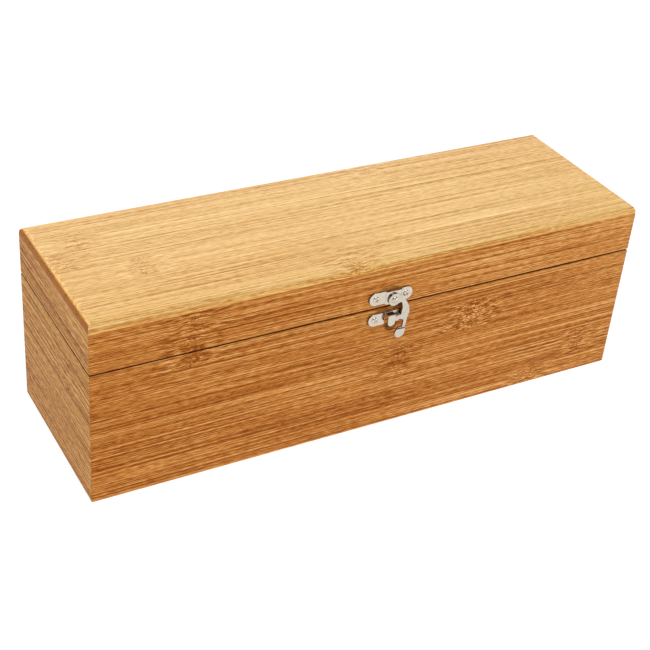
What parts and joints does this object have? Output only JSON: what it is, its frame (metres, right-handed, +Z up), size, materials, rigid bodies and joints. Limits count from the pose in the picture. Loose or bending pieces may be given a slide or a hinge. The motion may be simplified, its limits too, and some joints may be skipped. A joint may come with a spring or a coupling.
{
  "type": "wine box",
  "caption": "Bamboo presentation box for a wine bottle: mitred base with cradles, hinged lid with stop hinges, and a swinging hook latch in front.",
  "frame": {"origin": "middle of the underside, where the box rests", "axes": "+X along the box, +Y towards the hinges, +Z up"},
  "size_m": [0.356, 0.1217, 0.117],
  "materials": {
    "bamboo_panel": "satin lacquer, light flat-grain bamboo",
    "bamboo_board": "satin lacquer, caramel flat-grain bamboo",
    "bamboo_end": "satin lacquer, bamboo end boards",
    "bamboo_inside": "sanded bamboo",
    "nickel_sheet": "nickel plated steel sheet",
    "nickel_bright": "bright nickel plate"
  },
  "bodies": {
    "base": {"base_front_board": "bamboo_board", "base_back_board": "bamboo_board", "base_left_board": "bamboo_end", "base_right_board": "bamboo_end", "base_bottom_panel": "bamboo_board", "punt_end_cradle": "bamboo_inside", "shoulder_cradle": "bamboo_inside", "neck_cradle": "bamboo_inside", "keeper_plate": "nickel_sheet", "keeper_plate_screws": "nickel_bright", "left_hinge_base_leaf": "nickel_sheet", "left_hinge_pin": "nickel_bright", "left_hinge_base_screws": "nickel_bright", "right_hinge_base_leaf": "nickel_sheet", "right_hinge_pin": "nickel_bright", "right_hinge_base_screws": "nickel_bright"},
    "lid": {"lid_top_panel": "bamboo_panel", "lid_front_rail": "bamboo_board", "lid_back_rail": "bamboo_board", "lid_left_rail": "bamboo_end", "lid_right_rail": "bamboo_end", "latch_plate": "nickel_sheet", "latch_rivet": "nickel_bright", "latch_plate_screws": "nickel_bright", "left_hinge_lid_leaf": "nickel_sheet", "left_hinge_lid_screws": "nickel_bright", "right_hinge_lid_leaf": "nickel_sheet", "right_hinge_lid_screws": "nickel_bright"},
    "latch": {"latch_arm": "nickel_bright"}
  },
  "joints": [
    {"name": "lid_hinge", "type": "hinge", "parent": "base", "child": "lid", "pos_m": [0, 0.0574, 0.08625], "axis": [-1, 0, 0], "range_deg": [0, 95]},
    {"name": "latch_swing", "type": "hinge", "parent": "lid", "child": "latch", "pos_m": [0.0044, -0.0576, 0.0917], "axis": [0, -1, 0], "range_deg": [-12, 110]}
  ]
}
